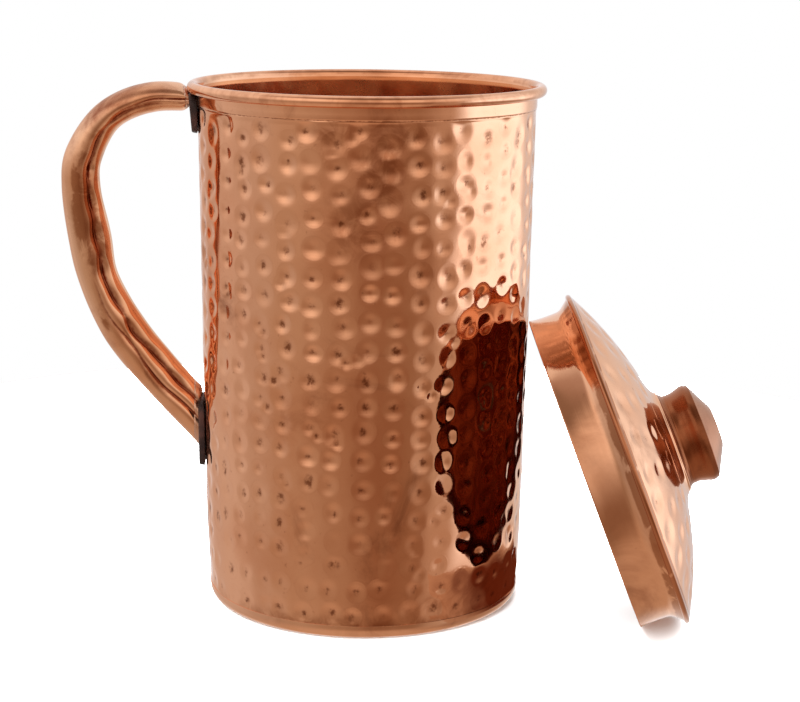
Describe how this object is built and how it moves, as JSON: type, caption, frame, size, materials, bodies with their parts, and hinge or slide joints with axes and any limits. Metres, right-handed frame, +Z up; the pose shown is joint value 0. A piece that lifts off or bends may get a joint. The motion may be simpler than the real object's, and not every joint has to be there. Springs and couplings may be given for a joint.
{
  "type": "water jug",
  "caption": "Straight-sided hammered copper water jug with a rolled rim and a folded tube handle, its domed, knobbed lid leaning beside it.",
  "frame": {"origin": "centre of the jug's flat underside, on the jug's axis", "axes": "+Z up along the jug's axis, +X from the handle towards the side where the lid leans, +Y to the back"},
  "size_m": [0.2261, 0.1476, 0.18],
  "materials": {
    "hammered_copper": "hammered and polished copper with brown tarnish clouds",
    "smooth_copper": "spun and polished copper with fine lathe lines",
    "handle_copper": "hand-rubbed copper with dark brown patches along the fold",
    "dark_oxide": "blackened by heat",
    "braze": "dull cast braze",
    "steel": "plain drawn steel"
  },
  "bodies": {
    "jug": {"jug_wall": "hammered_copper", "rim_wire": "steel", "base_pan": "smooth_copper", "base_braze": "braze", "handle_tube": "handle_copper", "upper_saddle": "dark_oxide", "lower_saddle": "dark_oxide", "upper_handle_braze": "braze", "lower_handle_braze": "braze"},
    "lid": {"lid_dome": "hammered_copper", "lid_skirt": "smooth_copper", "lid_braze": "braze", "knob_shell": "smooth_copper", "knob_cap": "smooth_copper", "knob_rivet": "steel", "knob_washer": "steel"}
  },
  "joints": [
    {"name": "lid_lift", "type": "slide", "parent": "jug", "child": "lid", "axis": [0.932, 0, 0.3624], "range_m": [0, 0.12]}
  ]
}
